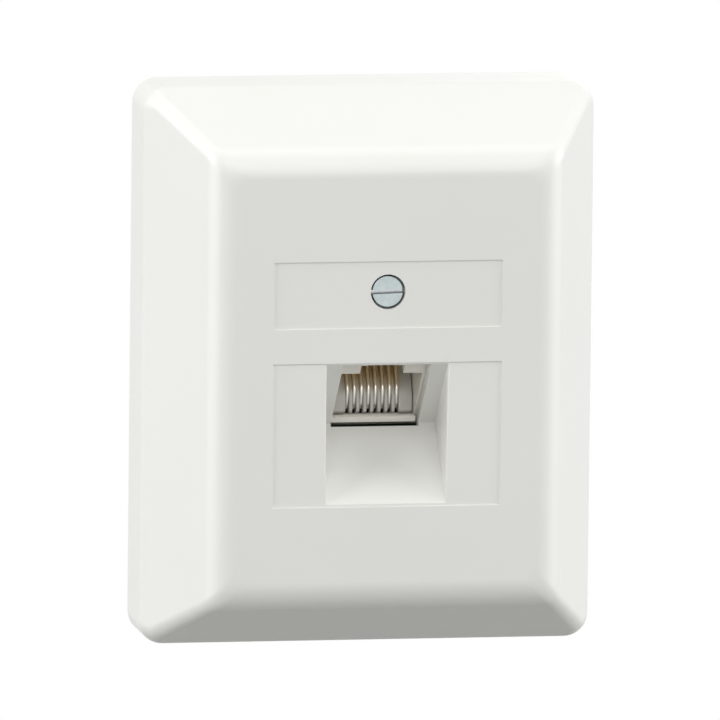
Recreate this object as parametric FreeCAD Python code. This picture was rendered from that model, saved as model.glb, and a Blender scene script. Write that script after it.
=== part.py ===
import FreeCAD, Part
import math
import os

# Single-port surface-mount data outlet, in millimetres. +X is right, +Z is up, the wall is the
# plane y = 0 and the front faces -Y. The origin is the centre of the face that meets the wall.
# The socket is tilted: "along" runs with the plug as it goes in, "down" runs square to that
# down the socket's face, and both start at the top edge of the notch in the cover's front.

os.makedirs("parts", exist_ok=True)
Vec = FreeCAD.Vector
FRONT = Vec(0, -1, 0)

# Cover
cover_width = 65.0
cover_height = 80.0
cover_depth = 27.0
skirt_depth = 9.8
bevel_angle = 64.8
cover_wall = 2.0
skirt_corner_radius = 3.5
hip_radius = 1.8
hip_blend = 1.2
skirt_edge_radius = 2.5
face_edge_radius = 4.8
inside_edge_radius = 0.3
label_depth = 0.2
label_width = 32.8
name_label_top = 17.0
name_label_height = 9.6
port_label_height = 20.6

# Notch in the cover's front, and the tilted socket behind it
notch_top = 2.5
notch_width = 17.3
notch_depth = 10.2
notch_wall = 1.5
socket_tilt = 45.0
port_width = 12.6
port_top_land = 0.5
port_ramp_setback = 0.52
face_gap = 0.3

# Socket housing and plug cavity
housing_width = 15.0
housing_top = 1.7
housing_bottom = 17.05
plug_width = 11.8
plug_height = 6.86
plug_reach = 12.5
shoulder_line = 4.97
latch_width = 6.2
latch_height = 1.84
latch_slot_width = 4.2
latch_slot_height = 1.0
latch_slot_reach = 9.2
front_bar_top = 15.9
front_bar_thickness = 1.15
lip_front = 0.6
lip_bottom = 15.0
lip_face = 0.56
lip_crest = 0.2
lip_ledge = 15.2
lip_thickness = 0.6
lip_gap = 0.2
housing_floor = 1.0
housing_back_rise = 9.6
housing_pocket_room = 1.1
peg_diameter = 2.4
peg_spacing = 10.6
peg_land = 0.55

# Spring contacts and the comb that guides them
contact_count = 8
contact_pitch = 1.016
contact_diameter = 0.45
comb_slot_width = 0.56
comb_nose = 0.65
comb_nose_top = 14.8
comb_nose_bottom = 15.4
comb_foot = 1.25
comb_knee_reach = 2.1
comb_knee_line = 13.3
comb_crest_reach = 4.4
comb_board_gap = 0.57
comb_side_gap = 0.15
comb_bottom = 16.4
contact_lower_line = 15.6
contact_front_reach = 1.7
contact_front_top = 14.55
contact_knee_reach = 2.8
contact_knee_line = 12.65
contact_tip_reach = 10.8
contact_tip_line = 9.7
contact_bend_radii = (2.5, 0.8, 0.42)
pin_row_inset = 1.0
pin_row_spacing = 2.54
pin_bend_radius = 0.6
pin_projection = 0.6

# Circuit board
board_width = 39.0
board_top = 19.5
board_hole_gap = 1.6
board_thickness = 1.6
board_rise = 3.9
board_corner_radius = 1.0
pin_hole_diameter = 0.8

# Insulation-displacement terminals
terminal_ways = 4
terminal_pitch = 4.0
terminal_block_width = 17.5
terminal_block_gap = 2.0
terminal_edge_inset = 4.2
terminal_block_height = 9.0
terminal_cover_gap = 1.28
wire_slot_width = 0.9
wire_slot_depth = 7.0
blade_width = 2.6
blade_thickness = 0.5
blade_sink = 1.5
blade_slit_width = 0.3
blade_slit_depth = 5.5
blade_play = 0.05
tail_width = 0.8
tail_projection = 0.5
tail_hole_diameter = 1.2

# Cover screw (slotted cheese head, M2.5) and its brass bush
screw_height = 12.6
screw_thread_diameter = 2.5
screw_head_diameter = 4.5
screw_head_height = 1.35
screw_head_recess = 0.65
screw_slot_width = 0.6
screw_slot_depth = 0.7
screw_slot_lean = 2.0
screw_hole_diameter = 5.0
screw_shank_hole = 2.8
screw_seat_thickness = 1.2
screw_tip_chamfer = 0.35
sleeve_diameter = 8.6
sleeve_bore = 6.2
post_depth = 7.5
post_diameter = 8.6
bush_diameter = 4.0
bush_length = 4.0
bush_collar_diameter = 5.2
bush_collar_height = 0.6
screw_bore_diameter = 2.54
screw_engagement = 3.5
blind_hole_extra = 0.5
washer_diameter = 5.4
washer_thickness = 0.8
washer_drop = 0.3

# Base
base_clearance = 0.25
base_floor = 2.0
rim_height = 6.0
rim_thickness = 1.5
rim_gap = 18.0
wall_slot_spacing = 49.0
wall_slot_width = 4.2
wall_slot_length = 8.0
cable_hole_radius = 4.5
cable_hole_inset = 7.15
stand_off_diameter = 5.0
board_screw_spacing = 32.0
board_screw_inset = 3.5
board_screw_diameter = 2.2
board_screw_hole = 2.6
board_screw_length = 3.2
board_screw_head_diameter = 4.2
board_screw_head_height = 1.5
board_screw_slot_width = 0.6
board_screw_slot_depth = 0.7
hook_spacing = 24.0
hook_width = 4.0
hook_thickness = 1.4
hook_lip = 0.9
hook_lip_height = 1.2
hook_play = 0.1
centre_pad_diameter = 6.0
tie_bridge_offset = 12.0
tie_bridge_width = 6.0
tie_bridge_length = 5.0
tie_bridge_height = 4.0
tie_bridge_thickness = 1.4

# Knock-outs for surface-run cable, scored on the inside of the skirt's top and bottom
knockout_width = 14.0
knockout_height = 7.5
score_width = 0.8
score_depth = 1.2

# Worked out from the sizes above
OVERCUT = 1.0
PROFILE_STEPS = 4
tilt = math.radians(socket_tilt)
bevel = math.radians(bevel_angle)
face_y = -cover_depth
seat_y = face_y + screw_head_recess + screw_head_height
post_y = face_y + post_depth
board_front_y = -(board_rise + board_thickness)
panel_length = notch_depth / math.sin(tilt)
socket_face = notch_wall + face_gap
cavity_floor = shoulder_line + plug_height
cavity_end = socket_face + plug_reach
comb_end = (board_front_y - face_y - comb_board_gap - comb_bottom * math.sin(tilt)) / math.cos(tilt)
pocket_end = comb_end + housing_pocket_room
pocket_top_z = notch_top + pocket_end * math.sin(tilt) - cavity_floor * math.cos(tilt)
peg_z = pocket_top_z + peg_land + peg_diameter / 2
base_height = cover_height - 2 * (cover_wall + base_clearance)
base_width = cover_width - 2 * (cover_wall + base_clearance)
cable_hole_z = cable_hole_inset - base_height / 2
board_bottom = cable_hole_z + cable_hole_radius + board_hole_gap
board_screw_z = board_top - board_screw_inset
board_screw_end = board_front_y + board_screw_length
terminal_block_top = board_bottom + terminal_edge_inset + terminal_block_height
notch_wall_line = panel_length + notch_wall
notch_wall_along = (terminal_block_top - notch_top + notch_wall_line * math.cos(tilt)) / math.sin(tilt)
notch_wall_depth = notch_wall_along * math.cos(tilt) + notch_wall_line * math.sin(tilt)
terminal_front_y = face_y + notch_wall_depth + terminal_cover_gap


def box(x0, x1, y0, y1, z0, z1):
    return Part.makeBox(x1 - x0, y1 - y0, z1 - z0, Vec(x0, y0, z0))


def rod(x, z, y_back, y_front, diameter):
    """Round bar square to the wall, from y_back forward to y_front."""
    return Part.makeCylinder(diameter / 2, y_back - y_front, Vec(x, y_back, z), FRONT)


def union(shapes):
    shapes = list(shapes)
    return shapes[0].multiFuse(shapes[1:]).removeSplitter() if len(shapes) > 1 else shapes[0]


def save(name, shape):
    solids = shape.Solids
    result = solids[0] if len(solids) == 1 else Part.makeCompound(solids)
    result.exportStep("parts/" + name + ".step")
    print(name, len(solids), "solid(s)", round(shape.Volume, 2), "mm3", "valid", result.isValid())


def tilted(x, along, down):
    """Point in the socket's own directions."""
    depth = along * math.cos(tilt) + down * math.sin(tilt)
    height = along * math.sin(tilt) - down * math.cos(tilt)
    return Vec(x, face_y + depth, notch_top + height)


def extruded(points, x0, x1):
    """Flat outline of (y, z) points carried from x0 to x1."""
    corners = [Vec(x0, y, z) for y, z in points]
    return Part.Face(Part.makePolygon(corners + corners[:1])).extrude(Vec(x1 - x0, 0, 0))


def tilted_prism(points, x0, x1):
    """Outline of (along, down) points carried from x0 to x1."""
    corners = [tilted(0, along, down) for along, down in points]
    return extruded([(p.y, p.z) for p in corners], x0, x1)


def tilted_box(along0, along1, down0, down1, half_width, x=0.0):
    outline = [(along0, down0), (along1, down0), (along1, down1), (along0, down1)]
    return tilted_prism(outline, x - half_width, x + half_width)


def rounded_outline(width, height, radius, y):
    """Closed wire: a rectangle with round corners in the plane at y, centred on the origin."""
    half_w, half_h = width / 2, height / 2
    in_w, in_h = half_w - radius, half_h - radius
    edges = []
    for turn, (cx, cz) in enumerate([(in_w, in_h), (-in_w, in_h), (-in_w, -in_h), (in_w, -in_h)]):
        angles = [math.radians(90 * turn + step) for step in (0, 45, 90)]
        arc = [Vec(cx + radius * math.cos(t), y, cz + radius * math.sin(t)) for t in angles]
        if edges:
            edges.append(Part.LineSegment(edges[-1].Vertexes[-1].Point, arc[0]).toShape())
        edges.append(Part.Arc(*arc).toShape())
    edges.append(Part.LineSegment(edges[-1].Vertexes[-1].Point, edges[0].Vertexes[0].Point).toShape())
    return Part.Wire(edges)


def rounded_plate(width, height, radius, y_back, y_front):
    face = Part.Face(rounded_outline(width, height, radius, y_back))
    return face.extrude(Vec(0, y_front - y_back, 0))


def corner_arc(corner, start_angle, end_angle, radius):
    """Points (inset, rise) of an arc that rounds a convex corner of the cover's profile.

    The angles are the directions of the two straight stretches, measured from the wall plane.
    """
    half_turn = (start_angle - end_angle) / 2
    tangent = radius * math.tan(half_turn)
    inset, rise = corner
    start = (inset - tangent * math.cos(start_angle), rise - tangent * math.sin(start_angle))
    centre = (start[0] + radius * math.sin(start_angle), start[1] - radius * math.cos(start_angle))
    points = []
    for step in range(PROFILE_STEPS + 1):
        angle = start_angle + (end_angle - start_angle) * step / PROFILE_STEPS
        points.append((centre[0] - radius * math.sin(angle), centre[1] + radius * math.cos(angle)))
    return points


def cover_envelope(offset, back_rise):
    """Solid bounded by the cover's outer surface moved inward by offset, from back_rise forward."""
    front = cover_depth - offset
    edge_rise = skirt_depth - offset * (1 - math.sin(bevel)) / math.cos(bevel)
    bevel_end = offset / math.sin(bevel) + (front - skirt_depth) / math.tan(bevel)
    upright, flat = math.pi / 2, 0.0
    lower_radius = max(skirt_edge_radius - offset, inside_edge_radius)
    upper_radius = max(face_edge_radius - offset, inside_edge_radius)
    lower = corner_arc((offset, edge_rise), upright, bevel, lower_radius)
    upper = corner_arc((bevel_end, front), bevel, flat, upper_radius)
    hip_inset = offset + hip_blend
    hip_start = (hip_inset, lower[-1][1] + (hip_inset - lower[-1][0]) * math.tan(bevel))

    def section(point):
        inset, rise = point
        share = min((inset - offset) / hip_blend, 1.0)
        radius = skirt_corner_radius + (hip_radius - skirt_corner_radius) * share
        radius = max(radius - offset, inside_edge_radius)
        return rounded_outline(cover_width - 2 * inset, cover_height - 2 * inset, radius, -rise)

    skirt = Part.Face(section((offset, back_rise))).extrude(Vec(0, back_rise - lower[0][1], 0))
    stretches = [
        skirt,
        Part.makeLoft([section(p) for p in lower], True, False),
        Part.makeLoft([section(lower[-1]), section(hip_start)], True, True),
        Part.makeLoft([section(hip_start), section(upper[0])], True, True),
        Part.makeLoft([section(p) for p in upper], True, False),
    ]
    return union(stretches)


def notch_space(grow):
    """The V-shaped space in the front, with its two slopes and its sides moved out by grow."""
    reach = notch_depth / math.cos(tilt) + 2 * grow + OVERCUT
    half_width = notch_width / 2 + grow
    outline = [(-reach, panel_length + grow), (grow, panel_length + grow), (grow, -reach)]
    return tilted_prism(outline, -half_width, half_width)


def port_cut():
    """Cut through the notch's upper slope where the socket shows."""
    below = housing_bottom + face_gap
    through = notch_wall + OVERCUT
    return tilted_box(-port_ramp_setback, through, port_top_land, below, port_width / 2)


def label_recess(top, height):
    half = label_width / 2
    return box(-half, half, face_y - OVERCUT, face_y + label_depth, top - height, top)


def knockout_score(side):
    """Groove on the inner face of the top (side 1) or bottom (side -1) of the skirt."""
    half = knockout_width / 2
    inner_z = cover_height / 2 - cover_wall
    groove = box(-half, half, -knockout_height, OVERCUT, inner_z - OVERCUT, inner_z + score_depth)
    land = box(
        -half + score_width,
        half - score_width,
        -knockout_height + score_width,
        2 * OVERCUT,
        inner_z - 2 * OVERCUT,
        inner_z + 2 * OVERCUT,
    )
    groove = groove.cut(land)
    return groove if side > 0 else groove.mirror(Vec(0, 0, 0), Vec(0, 0, 1))


def cover():
    outer = cover_envelope(0.0, 0.0)
    shell = outer.cut(cover_envelope(cover_wall, -OVERCUT))
    sleeve_end = post_y - face_gap
    seat_back = seat_y + screw_seat_thickness
    additions = [
        notch_space(notch_wall).common(outer),
        rod(0, screw_height, sleeve_end, face_y + screw_head_recess, sleeve_diameter),
    ]
    body = union([shell] + additions)
    cuts = [
        notch_space(0.0),
        port_cut(),
        label_recess(name_label_top, name_label_height),
        label_recess(notch_top, port_label_height),
        knockout_score(1),
        knockout_score(-1),
        rod(0, screw_height, seat_y, face_y - OVERCUT, screw_hole_diameter),
        rod(0, screw_height, seat_back, seat_y - OVERCUT, screw_shank_hole),
        rod(0, screw_height, sleeve_end + OVERCUT, seat_back, sleeve_bore),
    ]
    return cut_all(body, cuts)


def cut_all(body, cuts):
    for tool in cuts:
        body = body.cut(tool)
    return body


def cover_screw():
    head_front = face_y + screw_head_recess
    tip_y = post_y + screw_engagement
    head = rod(0, screw_height, seat_y, head_front, screw_head_diameter)
    shank = rod(0, screw_height, tip_y, seat_y, screw_thread_diameter)
    shank = shank.makeChamfer(screw_tip_chamfer, [e for e in shank.Edges if is_ring_at(e, tip_y)])
    half = screw_head_diameter / 2 + OVERCUT
    slot = box(
        -half, half, head_front - OVERCUT, head_front + screw_slot_depth,
        screw_height - screw_slot_width / 2, screw_height + screw_slot_width / 2,
    )
    slot.rotate(Vec(0, 0, screw_height), FRONT, screw_slot_lean)
    return union([head, shank]).cut(slot)


def is_ring_at(edge, y):
    """True for a closed round edge that lies in the plane at y."""
    return len(edge.Vertexes) == 1 and abs(edge.BoundBox.YMin - y) < 1e-6 > edge.BoundBox.YLength


def screw_washer():
    """Ring that grips the screw under its seat, so that it stays in the cover."""
    back = seat_y + screw_seat_thickness + washer_drop + washer_thickness
    ring = rod(0, screw_height, back, back - washer_thickness, washer_diameter)
    return ring.cut(rod(0, screw_height, back + OVERCUT, post_y - post_depth, screw_thread_diameter))


def bush():
    """Brass bush with a collar, set into the housing's post."""
    body = rod(0, screw_height, post_y + bush_length, post_y, bush_diameter)
    collar = rod(0, screw_height, post_y + bush_collar_height, post_y, bush_collar_diameter)
    bore = rod(0, screw_height, post_y + bush_length + OVERCUT, post_y - OVERCUT, screw_bore_diameter)
    return union([body, collar]).cut(bore)


def plug_cavity():
    """Space that the plug and its latch take in the housing."""
    start = socket_face - OVERCUT
    latch_top = shoulder_line - latch_height
    slot_end = socket_face + latch_slot_reach
    return union([
        tilted_box(start, cavity_end, shoulder_line, cavity_floor, plug_width / 2),
        tilted_box(start, cavity_end, latch_top, shoulder_line, latch_width / 2),
        tilted_box(start, slot_end, latch_top - latch_slot_height, latch_top, latch_slot_width / 2),
    ])


def housing_pocket():
    """Space under the plug cavity for the comb and the contacts' pins, open towards the board."""
    bar_back = socket_face + front_bar_thickness
    start = socket_face - OVERCUT
    roof_end = tilted(0, pocket_end, cavity_floor)
    floor_z = tilted(0, socket_face, housing_bottom).z + housing_floor
    bar_foot_line = (bar_back * math.sin(tilt) - (floor_z - notch_top)) / math.cos(tilt)
    bar_foot = tilted(0, bar_back, bar_foot_line)
    outline = [
        tilted(0, start, cavity_floor),
        roof_end,
        Vec(0, board_front_y + OVERCUT, roof_end.z),
        Vec(0, board_front_y + OVERCUT, bar_foot.z),
        bar_foot,
        tilted(0, bar_back, front_bar_top),
        tilted(0, start, front_bar_top),
    ]
    return extruded([(p.y, p.z) for p in outline], -plug_width / 2, plug_width / 2)


def front_lip():
    """Rail with an upright front that closes the foot of the socket's mouth, before the comb."""
    back = socket_face + comb_nose - face_gap
    crest = (lip_front + lip_face, lip_bottom - lip_face)
    outline = [
        (lip_front, lip_bottom),
        crest,
        (crest[0] + lip_crest, crest[1]),
        (crest[0] + lip_crest, lip_ledge),
        (back, lip_ledge),
        (back, front_bar_top + lip_thickness),
        (socket_face, front_bar_top + lip_thickness),
        (socket_face, lip_bottom + lip_thickness),
    ]
    half = port_width / 2 - lip_gap
    return tilted_prism(outline, -half, half)


def peg_places():
    """(x, z) of the two pegs that locate the housing on the board."""
    return [(side * peg_spacing / 2, peg_z) for side in (-1, 1)]


def housing():
    front_low = tilted(0, socket_face, housing_bottom)
    front_high = tilted(0, socket_face, housing_top)
    back_run = housing_back_rise / math.tan(tilt)
    rear_high = front_high + Vec(0, back_run, housing_back_rise)
    outline = [
        (front_low.y, front_low.z),
        (front_high.y, front_high.z),
        (rear_high.y, rear_high.z),
        (board_front_y, rear_high.z),
        (board_front_y, front_low.z),
    ]
    half = housing_width / 2
    block = extruded(outline, -half, half)
    post = rod(0, screw_height, board_front_y, post_y, post_diameter)
    pegs = [
        rod(x, z, board_front_y + board_thickness, board_front_y, peg_diameter)
        for x, z in peg_places()
    ]
    body = union([block, post] + pegs)
    hole_end = post_y + bush_length + blind_hole_extra
    cuts = [
        plug_cavity(),
        housing_pocket(),
        rod(0, screw_height, post_y + bush_length, post_y - OVERCUT, bush_diameter),
        rod(0, screw_height, post_y + bush_collar_height, post_y - OVERCUT, bush_collar_diameter),
        rod(0, screw_height, hole_end, post_y, screw_shank_hole),
    ]
    return union([cut_all(body, cuts), front_lip()])


def contact_x(index):
    return (index - (contact_count - 1) / 2) * contact_pitch


def comb():
    """Carrier for the contacts: its slots show as a row of teeth under the plug."""
    nose = socket_face + comb_nose
    foot = socket_face + comb_foot
    crest = cavity_floor + contact_diameter
    outline = [
        (foot, comb_bottom),
        (foot, comb_nose_bottom),
        (nose, comb_nose_bottom),
        (nose, comb_nose_top),
        (socket_face + comb_knee_reach, comb_knee_line),
        (socket_face + comb_crest_reach, crest),
        (comb_end, crest),
        (comb_end, comb_bottom),
    ]
    half = plug_width / 2 - comb_side_gap
    body = tilted_prism(outline, -half, half)
    slot_half = comb_slot_width / 2
    slot_end = comb_end + OVERCUT
    knee = socket_face + contact_knee_reach + slot_half
    front = socket_face + contact_front_reach + slot_half
    spring_slot = [
        (nose - OVERCUT, crest - OVERCUT),
        (slot_end, crest - OVERCUT),
        (slot_end, contact_knee_line + slot_half),
        (knee, contact_knee_line + slot_half),
        (front, contact_front_top + slot_half),
        (front, comb_bottom + OVERCUT),
        (nose - OVERCUT, comb_bottom + OVERCUT),
    ]
    lower_slot = contact_lower_line - slot_half
    slots = []
    for index in range(contact_count):
        x = contact_x(index)
        slots.append(tilted_prism(spring_slot, x - slot_half, x + slot_half))
        slots.append(tilted_box(nose, slot_end, lower_slot, comb_bottom + OVERCUT, slot_half, x))
    return cut_all(body, slots)


def rounded_path(points, radii):
    """Wire of straight runs through points, joined by tangent arcs of the given radii."""
    edges = []
    last = points[0]
    for corner, before, after, radius in zip(points[1:-1], points, points[2:], radii):
        inward = (corner - before).normalize()
        outward = (after - corner).normalize()
        turn = inward.getAngle(outward)
        tangent = radius * math.tan(turn / 2)
        start = corner - inward * tangent
        end = corner + outward * tangent
        bisector = (outward - inward).normalize()
        centre = corner + bisector * (radius / math.cos(turn / 2))
        edges.append(Part.LineSegment(last, start).toShape())
        edges.append(Part.Arc(start, centre - bisector * radius, end).toShape())
        last = end
    edges.append(Part.LineSegment(last, points[-1]).toShape())
    return Part.Wire(edges)


def pin_bend(index):
    """Where a contact turns back towards the board; the pins stand in two rows."""
    row_shift = (1 - index % 2) * pin_row_spacing / math.sin(tilt)
    return tilted(contact_x(index), comb_end - pin_row_inset - row_shift, contact_lower_line)


def contact(index):
    """Spring wire: free end in the plug cavity, round the comb's nose, back under it to its pin."""
    x = contact_x(index)
    bend = pin_bend(index)
    points = [
        tilted(x, socket_face + contact_tip_reach, contact_tip_line),
        tilted(x, socket_face + contact_knee_reach, contact_knee_line),
        tilted(x, socket_face + contact_front_reach, contact_front_top),
        tilted(x, socket_face + contact_front_reach, contact_lower_line),
        bend,
        Vec(x, -board_rise + pin_projection, bend.z),
    ]
    path = rounded_path(points, contact_bend_radii + (pin_bend_radius,))
    ring = Part.Circle(points[0], points[1] - points[0], contact_diameter / 2).toShape()
    return path.makePipeShell([Part.Wire(ring)], True, False)


def pin_places():
    """(x, z) where the contacts' pins cross the board."""
    return [(contact_x(index), pin_bend(index).z) for index in range(contact_count)]


def block_middle(side):
    return side * (terminal_block_gap + terminal_block_width) / 2


def blade_places(side):
    """(x, z) of the blades in the left (side -1) or right (side 1) terminal block."""
    z = terminal_block_top - terminal_block_height / 2
    first = block_middle(side) - (terminal_ways - 1) * terminal_pitch / 2
    return [(first + way * terminal_pitch, z) for way in range(terminal_ways)]


def terminal_block(side):
    half = terminal_block_width / 2
    middle = block_middle(side)
    low = terminal_block_top - terminal_block_height
    body = box(middle - half, middle + half, terminal_front_y, board_front_y, low, terminal_block_top)
    slot_front = terminal_front_y - OVERCUT
    slot_half = wire_slot_width / 2
    pocket_half = blade_width / 2 + blade_play
    thick_half = blade_thickness / 2 + blade_play
    cuts = []
    for x, z in blade_places(side):
        cuts += [
            box(
                x - slot_half, x + slot_half, slot_front, terminal_front_y + wire_slot_depth,
                low - OVERCUT, terminal_block_top + OVERCUT,
            ),
            box(
                x - pocket_half, x + pocket_half, slot_front, board_front_y + OVERCUT,
                z - thick_half, z + thick_half,
            ),
        ]
    return cut_all(body, cuts)


def blade(x, z):
    """Forked blade that bites a wire pressed into its slit, with a tail through the board."""
    front = terminal_front_y + blade_sink
    back = -board_rise + tail_projection
    thick = blade_thickness / 2
    plate = box(x - blade_width / 2, x + blade_width / 2, front, board_front_y, z - thick, z + thick)
    tail = box(x - tail_width / 2, x + tail_width / 2, board_front_y, back, z - thick, z + thick)
    slit = blade_slit_width / 2
    gap = box(x - slit, x + slit, front - OVERCUT, front + blade_slit_depth, z - OVERCUT, z + OVERCUT)
    return union([plate, tail]).cut(gap)


def circuit_board():
    height = board_top - board_bottom
    plate = rounded_plate(board_width, height, board_corner_radius, -board_rise, board_front_y)
    plate.translate(Vec(0, 0, (board_top + board_bottom) / 2))
    back, front = -board_rise + OVERCUT, board_front_y - OVERCUT
    holes = [rod(x, z, back, front, pin_hole_diameter) for x, z in pin_places()]
    holes += [rod(x, z, back, front, peg_diameter) for x, z in peg_places()]
    holes += [rod(x, board_screw_z, back, front, board_screw_hole) for x in board_screw_xs()]
    for side in (-1, 1):
        holes += [rod(x, z, back, front, tail_hole_diameter) for x, z in blade_places(side)]
    return cut_all(plate, holes)


def board_screw_xs():
    return (-board_screw_spacing / 2, board_screw_spacing / 2)


def board_screws():
    head_front = board_front_y - board_screw_head_height
    slot_front, slot_back = head_front - OVERCUT, head_front + board_screw_slot_depth
    slot_low = board_screw_z - board_screw_slot_width / 2
    slot_high = board_screw_z + board_screw_slot_width / 2
    half = board_screw_head_diameter / 2 + OVERCUT
    screws = []
    for x in board_screw_xs():
        head = rod(x, board_screw_z, board_front_y, head_front, board_screw_head_diameter)
        shank = rod(x, board_screw_z, board_screw_end, board_front_y, board_screw_diameter)
        slot = box(x - half, x + half, slot_front, slot_back, slot_low, slot_high)
        screws.append(union([head, shank]).cut(slot))
    return Part.makeCompound(screws)


def board_hook(x):
    """Hook on the base that holds the board's lower edge."""
    x0, x1 = x - hook_width / 2, x + hook_width / 2
    edge = board_bottom - hook_play
    outer = edge - hook_thickness
    catch_back = board_front_y - hook_play
    catch_front = catch_back - hook_lip_height
    stem = box(x0, x1, catch_front, 0, outer, edge)
    lip = box(x0, x1, catch_front, catch_back, outer, edge + hook_lip)
    ledge = box(x0, x1, -board_rise, 0, edge, edge + hook_thickness)
    return union([stem, lip, ledge])


def tie_bridge():
    """Arch beside the cable hole for a cable tie."""
    x0 = tie_bridge_offset - tie_bridge_width / 2
    x1 = tie_bridge_offset + tie_bridge_width / 2
    z0 = cable_hole_z - tie_bridge_length / 2
    z1 = cable_hole_z + tie_bridge_length / 2
    front = -base_floor - tie_bridge_height
    arch = box(x0, x1, front, -base_floor, z0, z1)
    passage = box(
        x0 + tie_bridge_thickness, x1 - tie_bridge_thickness,
        front + tie_bridge_thickness, -base_floor, z0 - OVERCUT, z1 + OVERCUT,
    )
    return arch.cut(passage)


def wall_slot(x):
    half = wall_slot_width / 2
    run = (wall_slot_length - wall_slot_width) / 2
    back, front = OVERCUT, -base_floor - OVERCUT
    ends = [rod(end, 0, back, front, wall_slot_width) for end in (x - run, x + run)]
    return union(ends + [box(x - run, x + run, front, back, -half, half)])


def base_plate():
    radius = max(skirt_corner_radius - cover_wall - base_clearance, inside_edge_radius)
    inner_radius = max(radius - rim_thickness, inside_edge_radius)
    inner_width = base_width - 2 * rim_thickness
    inner_height = base_height - 2 * rim_thickness
    rim_front = -rim_height - OVERCUT
    outside = rounded_plate(base_width, base_height, radius, 0, -rim_height)
    inside = rounded_plate(inner_width, inner_height, inner_radius, -base_floor, rim_front)
    gap_half = rim_gap / 2
    gaps = box(-gap_half, gap_half, rim_front, -base_floor, -base_height, base_height)
    tray = cut_all(outside, [inside, gaps])
    supports = [rod(x, board_screw_z, 0, -board_rise, stand_off_diameter) for x in board_screw_xs()]
    supports += [board_hook(side * hook_spacing / 2) for side in (-1, 1)] + [tie_bridge()]
    supports.append(rod(0, peg_z, 0, -board_rise, centre_pad_diameter))
    body = union([tray] + supports)
    cuts = [
        rod(0, cable_hole_z, OVERCUT, -base_floor - OVERCUT, 2 * cable_hole_radius),
        wall_slot(-wall_slot_spacing / 2),
        wall_slot(wall_slot_spacing / 2),
    ]
    cuts += [
        rod(x, board_screw_z, board_screw_end, board_front_y, board_screw_diameter)
        for x in board_screw_xs()
    ]
    return cut_all(body, cuts)


save("base_plate", base_plate())
save("cover", cover())
save("cover_screw", cover_screw())
save("screw_washer", screw_washer())
save("threaded_bush", bush())
save("socket_housing", housing())
save("contact_comb", comb())
for number in range(contact_count):
    save("contact_" + str(number + 1), contact(number))
save("circuit_board", circuit_board())
save("board_screws", board_screws())
for side_name, side_sign in (("left", -1), ("right", 1)):
    save("terminal_block_" + side_name, terminal_block(side_sign))
    for place, (blade_x, blade_z) in enumerate(blade_places(side_sign)):
        save("blade_" + side_name + "_" + str(place + 1), blade(blade_x, blade_z))
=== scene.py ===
import math

import bmesh
import bpy
from mathutils import Matrix, Vector


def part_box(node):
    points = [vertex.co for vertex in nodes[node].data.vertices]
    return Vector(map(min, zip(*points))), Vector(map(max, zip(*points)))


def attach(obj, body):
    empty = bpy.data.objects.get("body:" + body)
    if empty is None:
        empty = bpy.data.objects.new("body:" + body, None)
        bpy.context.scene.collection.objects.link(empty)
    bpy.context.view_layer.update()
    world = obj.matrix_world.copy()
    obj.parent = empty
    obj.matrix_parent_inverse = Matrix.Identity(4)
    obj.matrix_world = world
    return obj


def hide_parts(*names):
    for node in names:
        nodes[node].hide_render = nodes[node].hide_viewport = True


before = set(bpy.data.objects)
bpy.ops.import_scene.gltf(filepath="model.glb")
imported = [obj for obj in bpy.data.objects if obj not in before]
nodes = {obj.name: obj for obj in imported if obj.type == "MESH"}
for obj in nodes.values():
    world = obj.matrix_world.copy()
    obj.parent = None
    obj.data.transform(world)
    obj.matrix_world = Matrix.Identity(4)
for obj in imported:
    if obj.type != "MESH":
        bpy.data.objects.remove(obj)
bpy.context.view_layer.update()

# Base plate. A tray in white ABS that is screwed to the wall, with a raised rim, two wall slots,
# stand-offs and hooks for the board, and an arch for a cable tie. It is moulded in a tool with
# spark-eroded walls, so it is matt, and its edges are slightly round.
mm = 0.001
weld_distance = 0.002 * mm
base_rounding = 0.15 * mm


def finished(bm, name):
    """Turns a bmesh into an object with its place in its mesh."""
    bmesh.ops.recalc_face_normals(bm, faces=bm.faces)
    mesh = bpy.data.meshes.new(name)
    bm.to_mesh(mesh)
    bm.free()
    if "custom_normal" in mesh.attributes:
        mesh.attributes.remove(mesh.attributes["custom_normal"])
    mesh.materials.clear()
    piece = bpy.data.objects.new(name, mesh)
    bpy.context.scene.collection.objects.link(piece)
    return piece


def smooth_by_angle(piece, degrees=35):
    """Smooth shading that breaks at sharp edges."""
    bm = bmesh.new()
    bm.from_mesh(piece.data)
    for face in bm.faces:
        face.smooth = True
    for edge in bm.edges:
        edge.smooth = edge.is_manifold and edge.calc_face_angle(0) < math.radians(degrees)
    bm.to_mesh(piece.data)
    bm.free()
    weighted = piece.modifiers.new("weighted", "WEIGHTED_NORMAL")
    weighted.keep_sharp = True
    weighted.weight = 100


def round_edges(bm, edges, radius, segments=3):
    bmesh.ops.bevel(
        bm, geom=edges, offset=radius, offset_type="OFFSET", segments=segments,
        profile=0.5, affect="EDGES", material=-1, clamp_overlap=False,
    )


def softened(node, name, radius, degrees=50):
    """A merged copy of a CAD body, its sharp edges rounded as its tool leaves them."""
    bm = bmesh.new()
    bm.from_mesh(nodes[node].data)
    bmesh.ops.remove_doubles(bm, verts=bm.verts, dist=weld_distance)
    bmesh.ops.dissolve_limit(
        bm, angle_limit=math.radians(0.5), verts=bm.verts, edges=bm.edges, delimit=set()
    )
    sharp = [e for e in bm.edges if e.is_manifold and e.calc_face_angle(0) > math.radians(degrees)]
    round_edges(bm, sharp, radius, 2)
    wide = [f for f in bm.faces if len(f.verts) > 4]
    bmesh.ops.triangulate(bm, faces=wide, quad_method="BEAUTY", ngon_method="EAR_CLIP")
    piece = finished(bm, name)
    smooth_by_angle(piece)
    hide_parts(node)
    return piece


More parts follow.
